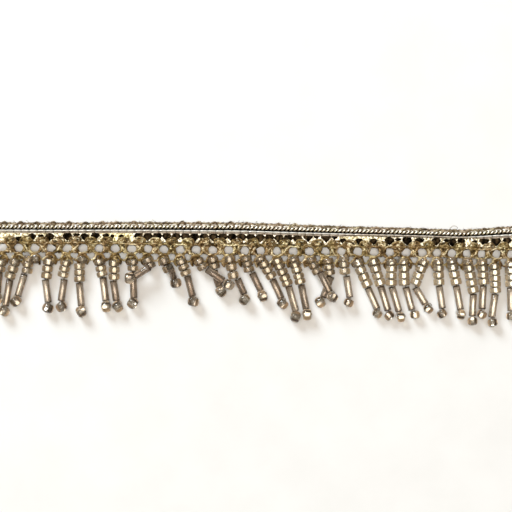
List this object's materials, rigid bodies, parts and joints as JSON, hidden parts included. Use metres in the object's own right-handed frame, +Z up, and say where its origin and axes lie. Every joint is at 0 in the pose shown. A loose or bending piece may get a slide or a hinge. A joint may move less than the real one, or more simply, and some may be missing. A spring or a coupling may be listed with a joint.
{
  "type": "beaded lace trim",
  "caption": "Cut length of gold crocheted lace trim with a braid heading, a twisted cord, a mirror foil row and a fringe of glass beads, lying flat.",
  "frame": {"origin": "centre of the trim's box, at the surface it lies on", "axes": "+X along the trim's length, +Y from the fringe towards the braid's upper edge, +Z up out of the trim's face"},
  "size_m": [0.1414, 0.029, 0.0048],
  "materials": {
    "metal_tape": "metallic thread, satin",
    "twist_gold": "metallic thread, bright",
    "mirror_foil": "mirror foil",
    "crochet_gold": "metallic yarn, crocheted",
    "bead_glass": "silver-lined glass"
  },
  "bodies": {
    "root": {"heading": "metal_tape", "twist_cord": "twist_gold", "foil_strip": "mirror_foil", "lace_net": "crochet_gold", "bead_fringe": "bead_glass"}
  },
  "joints": []
}
